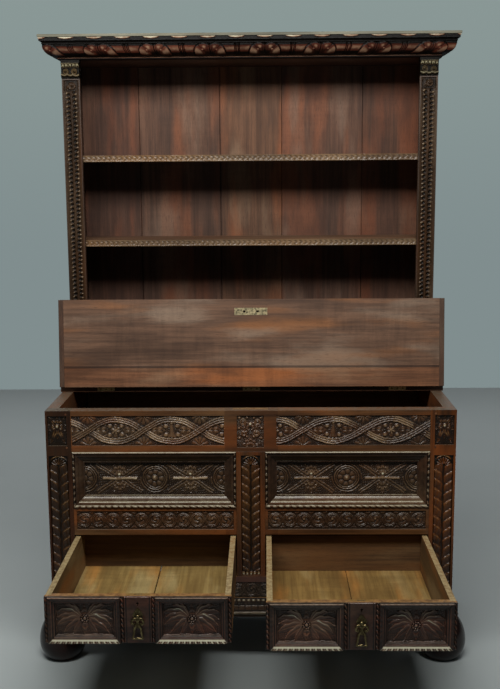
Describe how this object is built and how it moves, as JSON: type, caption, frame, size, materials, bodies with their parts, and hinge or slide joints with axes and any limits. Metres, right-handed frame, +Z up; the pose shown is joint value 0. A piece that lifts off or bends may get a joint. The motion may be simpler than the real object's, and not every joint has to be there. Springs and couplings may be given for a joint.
{
  "type": "mule chest bookcase",
  "caption": "Carved oak mule chest with a lidded well over drawers, and an open shelved bookcase with a cornice standing on the fixed rear part of its top.",
  "frame": {"origin": "on the floor under the centre of the bounding box, with the lid up and the drawers drawn out", "axes": "+X to the right as seen from the front, +Y to the back, +Z up"},
  "size_m": [1.526, 1.187, 2.189],
  "materials": {
    "frame_oak": "dark waxed oak, nearly black in the carved hollows",
    "panel_oak": "dark waxed oak, dull",
    "moulding_oak": "dark waxed oak with worn lighter edges",
    "hidden_oak": "dry unfinished oak",
    "foot_wood": "glossy red-brown polish",
    "top_oak": "mid-brown oak, dull, patchy",
    "case_oak": "mid-brown oak, waxed",
    "back_oak": "dark reddish-brown boards",
    "drawer_oak": "dry tan oak",
    "drawer_front_oak": "very dark waxed oak",
    "lock_brass": "aged pale brass",
    "hinge_brass": "dull antique brass"
  },
  "bodies": {
    "carcase": {"front_stiles": "frame_oak", "rear_stiles": "frame_oak", "front_top_rail": "frame_oak", "front_mid_rails": "frame_oak", "front_base_rail": "frame_oak", "front_muntin": "frame_oak", "front_panels": "panel_oak", "panel_mouldings": "moulding_oak", "side_rails": "frame_oak", "side_panels": "panel_oak", "chest_back_boards": "hidden_oak", "well_floor_boards": "hidden_oak", "well_floor_ledgers": "hidden_oak", "drawer_runners": "hidden_oak", "drawer_guides": "hidden_oak", "foot_pads": "frame_oak", "bun_feet": "foot_wood", "base_moulding": "frame_oak", "joint_pegs": "frame_oak", "rear_top_board": "top_oak", "chest_lock": "lock_brass", "case_side_left": "case_oak", "case_side_right": "case_oak", "pilaster_left": "moulding_oak", "pilaster_right": "moulding_oak", "pilaster_capitals": "moulding_oak", "case_boards": "case_oak", "shelves": "case_oak", "case_back_boards": "back_oak", "cornice_moulding": "moulding_oak", "cornice_top_board": "moulding_oak", "hinge_leaves_fixed": "hinge_brass", "hinge_pins": "hinge_brass", "hinge_screws_fixed": "hinge_brass"},
    "lid": {"lid_boards": "top_oak", "lid_end_strips": "top_oak", "catch_plate": "lock_brass", "hinge_leaves_lid": "hinge_brass", "lid_screws": "lock_brass"},
    "chest_bolt": {"chest_lock_bolt": "lock_brass"},
    "drawer_left": {"drawer_left_front": "drawer_front_oak", "drawer_left_sides": "drawer_oak", "drawer_left_back": "drawer_oak", "drawer_left_bottom": "drawer_oak", "drawer_left_mouldings": "drawer_front_oak", "drawer_left_lock": "lock_brass", "drawer_left_pull_plate": "hinge_brass"},
    "bolt_left": {"drawer_left_bolt": "lock_brass"},
    "pull_left": {"drawer_left_pull": "hinge_brass"},
    "drawer_right": {"drawer_right_front": "drawer_front_oak", "drawer_right_sides": "drawer_oak", "drawer_right_back": "drawer_oak", "drawer_right_bottom": "drawer_oak", "drawer_right_mouldings": "drawer_front_oak", "drawer_right_lock": "lock_brass", "drawer_right_pull_plate": "hinge_brass"},
    "bolt_right": {"drawer_right_bolt": "lock_brass"},
    "pull_right": {"drawer_right_pull": "hinge_brass"}
  },
  "joints": [
    {"name": "lid_hinge", "type": "hinge", "parent": "carcase", "child": "lid", "pos_m": [0, 0.2805, 0.9343], "axis": [1, 0, 0], "range_deg": [0, 95.82]},
    {"name": "chest_lock_slide", "type": "slide", "parent": "carcase", "child": "chest_bolt", "axis": [0, 0, 1], "range_m": [0, 0.011]},
    {"name": "drawer_left_slide", "type": "slide", "parent": "carcase", "child": "drawer_left", "axis": [0, -1, 0], "range_m": [-0.5, 0.06]},
    {"name": "bolt_left_slide", "type": "slide", "parent": "drawer_left", "child": "bolt_left", "axis": [0, 0, 1], "range_m": [0, 0.01]},
    {"name": "pull_left_hinge", "type": "hinge", "parent": "drawer_left", "child": "pull_left", "pos_m": [-0.33125, -0.5435, 0.411], "axis": [-1, 0, 0], "range_deg": [-5, 90]},
    {"name": "drawer_right_slide", "type": "slide", "parent": "carcase", "child": "drawer_right", "axis": [0, -1, 0], "range_m": [-0.545, 0.015]},
    {"name": "bolt_right_slide", "type": "slide", "parent": "drawer_right", "child": "bolt_right", "axis": [0, 0, 1], "range_m": [0, 0.01]},
    {"name": "pull_right_hinge", "type": "hinge", "parent": "drawer_right", "child": "pull_right", "pos_m": [0.33125, -0.5885, 0.411], "axis": [-1, 0, 0], "range_deg": [-5, 90]}
  ]
}
